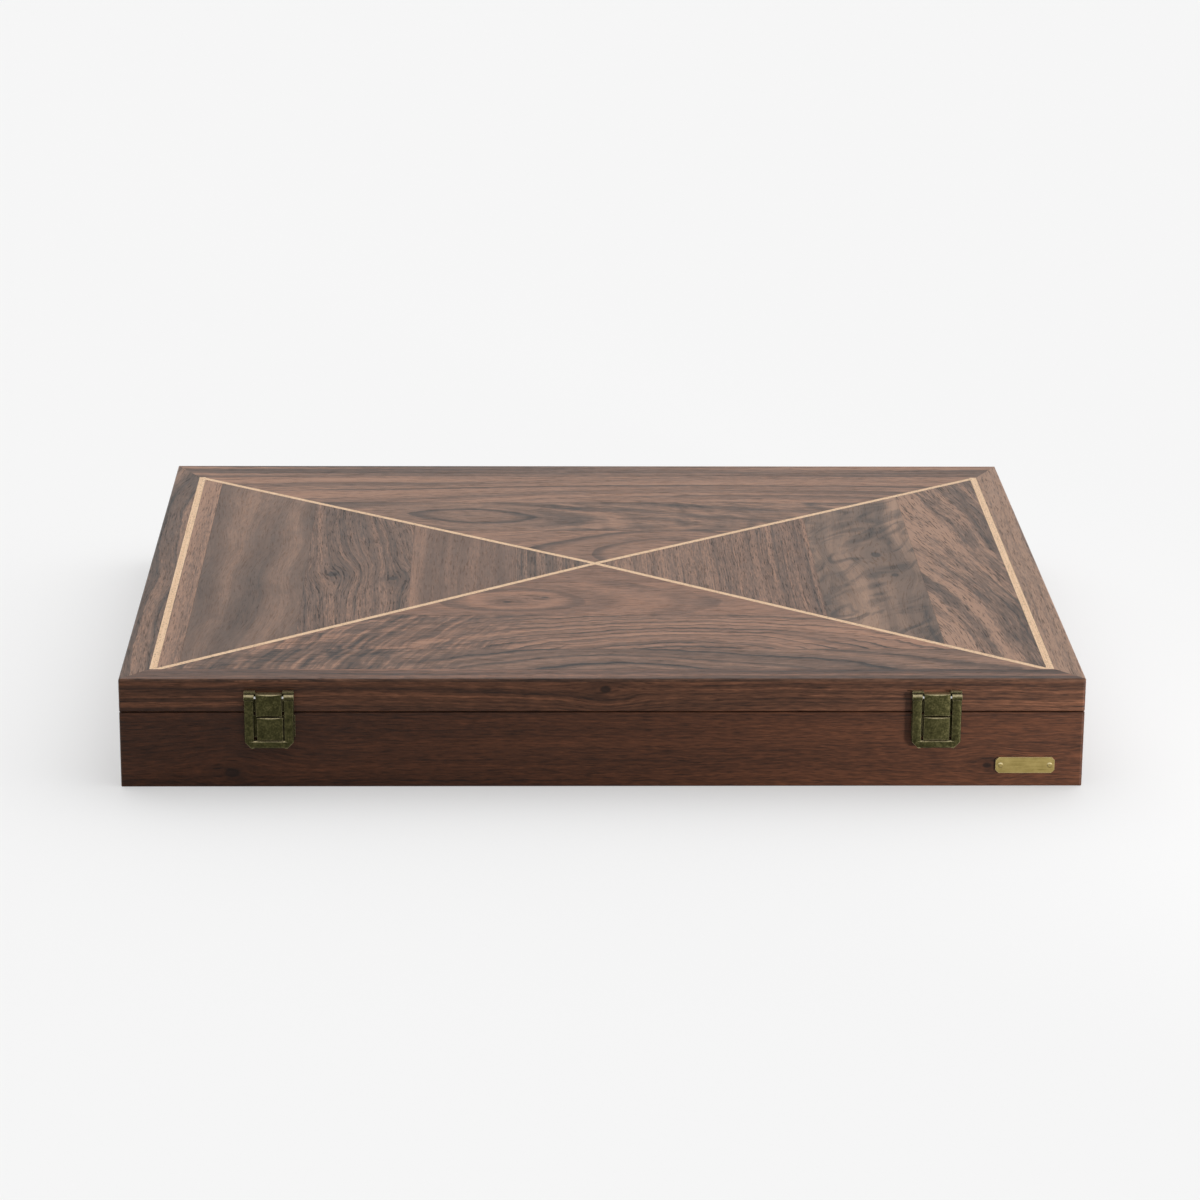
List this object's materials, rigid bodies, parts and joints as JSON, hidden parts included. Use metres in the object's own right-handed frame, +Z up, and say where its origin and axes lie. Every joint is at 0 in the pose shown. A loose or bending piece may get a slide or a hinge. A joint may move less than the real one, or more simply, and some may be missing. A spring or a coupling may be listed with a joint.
{
  "type": "mahjong case",
  "caption": "Shallow hinged walnut case with crossed pale inlay on its lid, loop latches in front and a felt-lined, divided tray for tiles.",
  "frame": {"origin": "middle of the footprint, on the surface that the case rests on", "axes": "+X to the right along the width, +Y from the latches to the hinges, +Z up"},
  "size_m": [0.39, 0.3234, 0.046],
  "materials": {
    "base_walnut": "satin oiled walnut, dark red-brown",
    "lid_walnut": "satin oiled walnut, greyish brown",
    "divider_walnut": "satin walnut",
    "maple_inlay": "satin pale maple",
    "plywood": "matt plywood",
    "felt": "green felt",
    "antique_bronze": "antique bronze, rubbed bright on its edges",
    "steel": "bright drawn pin",
    "brass": "satin brass"
  },
  "bodies": {
    "base": {"base_front_wall": "base_walnut", "base_right_wall": "base_walnut", "base_back_wall": "base_walnut", "base_left_wall": "base_walnut", "bottom_panel": "plywood", "base_felt": "felt", "long_divider": "divider_walnut", "tile_divider_left": "divider_walnut", "tile_divider_middle": "divider_walnut", "tile_divider_right": "divider_walnut", "tray_divider_left": "divider_walnut", "tray_divider_right": "divider_walnut", "name_plate": "brass", "name_plate_pins": "brass", "latch_left_keeper": "antique_bronze", "latch_right_keeper": "antique_bronze", "latch_keeper_nails": "antique_bronze", "hinge_left_base_leaf": "antique_bronze", "hinge_right_base_leaf": "antique_bronze", "hinge_left_pin": "steel", "hinge_right_pin": "steel", "hinge_base_screws": "antique_bronze"},
    "lid": {"lid_front_wall": "lid_walnut", "lid_right_wall": "lid_walnut", "lid_back_wall": "lid_walnut", "lid_left_wall": "lid_walnut", "lid_core_panel": "plywood", "lid_felt": "felt", "band_front_strip": "lid_walnut", "band_right_strip": "lid_walnut", "band_back_strip": "lid_walnut", "band_left_strip": "lid_walnut", "front_fan_boards": "lid_walnut", "right_fan_boards": "lid_walnut", "back_fan_boards": "lid_walnut", "left_fan_boards": "lid_walnut", "inlay_left_strip": "maple_inlay", "inlay_right_strip": "maple_inlay", "inlay_front_left_arm": "maple_inlay", "inlay_front_right_arm": "maple_inlay", "inlay_back_right_arm": "maple_inlay", "inlay_back_left_arm": "maple_inlay", "latch_left_lid_plate": "antique_bronze", "latch_right_lid_plate": "antique_bronze", "latch_left_pin": "steel", "latch_right_pin": "steel", "latch_plate_nails": "antique_bronze", "hinge_left_lid_leaf": "antique_bronze", "hinge_right_lid_leaf": "antique_bronze", "hinge_lid_screws": "antique_bronze"},
    "latch_left": {"latch_left_frame": "antique_bronze"},
    "latch_right": {"latch_right_frame": "antique_bronze"}
  },
  "joints": [
    {"name": "lid_hinge", "type": "hinge", "parent": "base", "child": "lid", "pos_m": [0, 0.15955, 0.03195], "axis": [-1, 0, 0], "range_deg": [0, 180]},
    {"name": "latch_left_swing", "type": "hinge", "parent": "lid", "child": "latch_left", "pos_m": [-0.1346, -0.16035, 0.03895], "axis": [-1, 0, 0], "range_deg": [0, 140]},
    {"name": "latch_right_swing", "type": "hinge", "parent": "lid", "child": "latch_right", "pos_m": [0.1346, -0.16035, 0.03895], "axis": [-1, 0, 0], "range_deg": [0, 140]}
  ]
}
